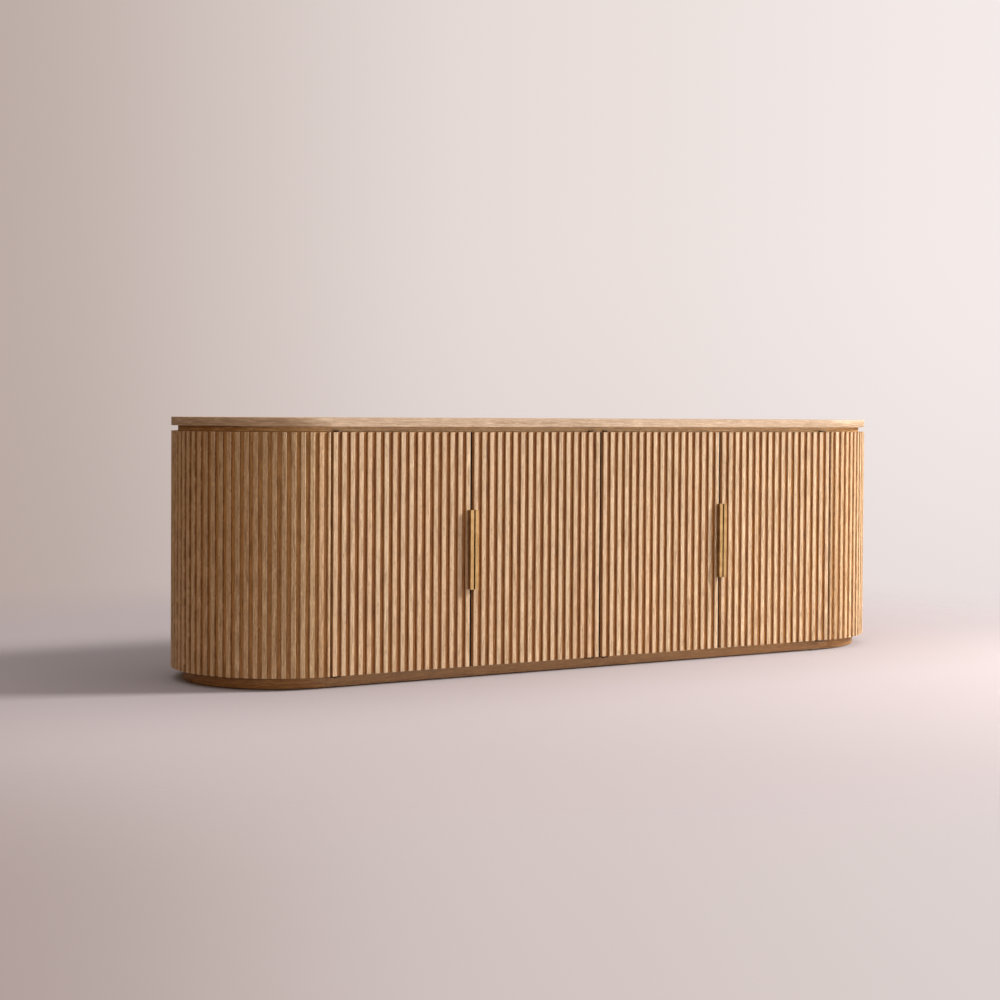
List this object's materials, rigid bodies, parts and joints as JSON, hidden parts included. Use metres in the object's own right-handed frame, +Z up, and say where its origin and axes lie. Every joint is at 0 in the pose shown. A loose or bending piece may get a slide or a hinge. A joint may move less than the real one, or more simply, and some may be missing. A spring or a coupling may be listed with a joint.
{
  "type": "media cabinet",
  "caption": "Low round-ended media cabinet with slatted hinged doors, brass bar pulls, shelved bays behind the doors, a recessed plinth and a thin top slab.",
  "frame": {"origin": "centre of the bounding box's floor rectangle, on the floor", "axes": "+X along the length to the right seen from the front, -Y out of the doors, +Z up"},
  "size_m": [2.027, 0.541, 0.623],
  "materials": {
    "oak_top": "satin oil, grain along the length",
    "oak_slats": "satin oil, grain upright",
    "oak_frame": "satin oil",
    "oak_plinth": "satin oil, grain along the length",
    "oak_panel": "satin oil, veneer",
    "oak_board": "satin veneer",
    "back_ply": "sealed plywood",
    "brushed_brass": "brushed, lacquered",
    "bronze_steel": "dark bronze powder coat, matte",
    "zinc_steel": "zinc plated",
    "black_nylon": "matt moulded"
  },
  "bodies": {
    "carcass": {"top_slab": "oak_top", "reveal_board": "oak_frame", "carcass_top": "oak_board", "carcass_base": "oak_board", "left_upright": "oak_board", "right_upright": "oak_board", "centre_divider": "oak_board", "left_back_panel": "back_ply", "right_back_panel": "back_ply", "left_end_shell": "oak_panel", "right_end_shell": "oak_panel", "left_end_slats": "oak_slats", "right_end_slats": "oak_slats", "plinth_front_rail": "oak_plinth", "plinth_back_rail": "oak_plinth", "plinth_left_end": "oak_plinth", "plinth_right_end": "oak_plinth", "plinth_cross_rails": "oak_board", "glides": "black_nylon", "left_shelf": "oak_board", "right_shelf": "oak_board", "shelf_pins": "zinc_steel", "left_grommets": "black_nylon", "right_grommets": "black_nylon", "wall_brackets": "zinc_steel", "bracket_screws": "zinc_steel", "top_pivot_plates": "bronze_steel", "base_pivot_plates": "bronze_steel", "pivot_pins": "zinc_steel", "pivot_plate_screws": "zinc_steel", "catch_housings": "black_nylon", "catch_magnets": "zinc_steel", "top_screws": "zinc_steel", "upright_screws": "zinc_steel", "plinth_screws": "zinc_steel", "back_screws": "zinc_steel"},
    "door_1": {"door_1_panel": "oak_panel", "door_1_slats": "oak_slats", "door_1_pull": "brushed_brass", "door_1_pull_screws": "zinc_steel", "door_1_bushes": "black_nylon", "door_1_strike": "zinc_steel"},
    "door_2": {"door_2_panel": "oak_panel", "door_2_slats": "oak_slats", "door_2_pull": "brushed_brass", "door_2_pull_screws": "zinc_steel", "door_2_bushes": "black_nylon", "door_2_strike": "zinc_steel"},
    "door_3": {"door_3_panel": "oak_panel", "door_3_slats": "oak_slats", "door_3_pull": "brushed_brass", "door_3_pull_screws": "zinc_steel", "door_3_bushes": "black_nylon", "door_3_strike": "zinc_steel"},
    "door_4": {"door_4_panel": "oak_panel", "door_4_slats": "oak_slats", "door_4_pull": "brushed_brass", "door_4_pull_screws": "zinc_steel", "door_4_bushes": "black_nylon", "door_4_strike": "zinc_steel"}
  },
  "joints": [
    {"name": "door_1_hinge", "type": "hinge", "parent": "carcass", "child": "door_1", "pos_m": [-0.7265, -0.2445, 0.3095], "axis": [0, 0, -1], "range_deg": [0, 110]},
    {"name": "door_2_hinge", "type": "hinge", "parent": "carcass", "child": "door_2", "pos_m": [-0.0215, -0.2445, 0.3095], "axis": [0, 0, 1], "range_deg": [0, 85]},
    {"name": "door_3_hinge", "type": "hinge", "parent": "carcass", "child": "door_3", "pos_m": [0.0215, -0.2445, 0.3095], "axis": [0, 0, -1], "range_deg": [0, 85]},
    {"name": "door_4_hinge", "type": "hinge", "parent": "carcass", "child": "door_4", "pos_m": [0.7265, -0.2445, 0.3095], "axis": [0, 0, 1], "range_deg": [0, 110]}
  ]
}
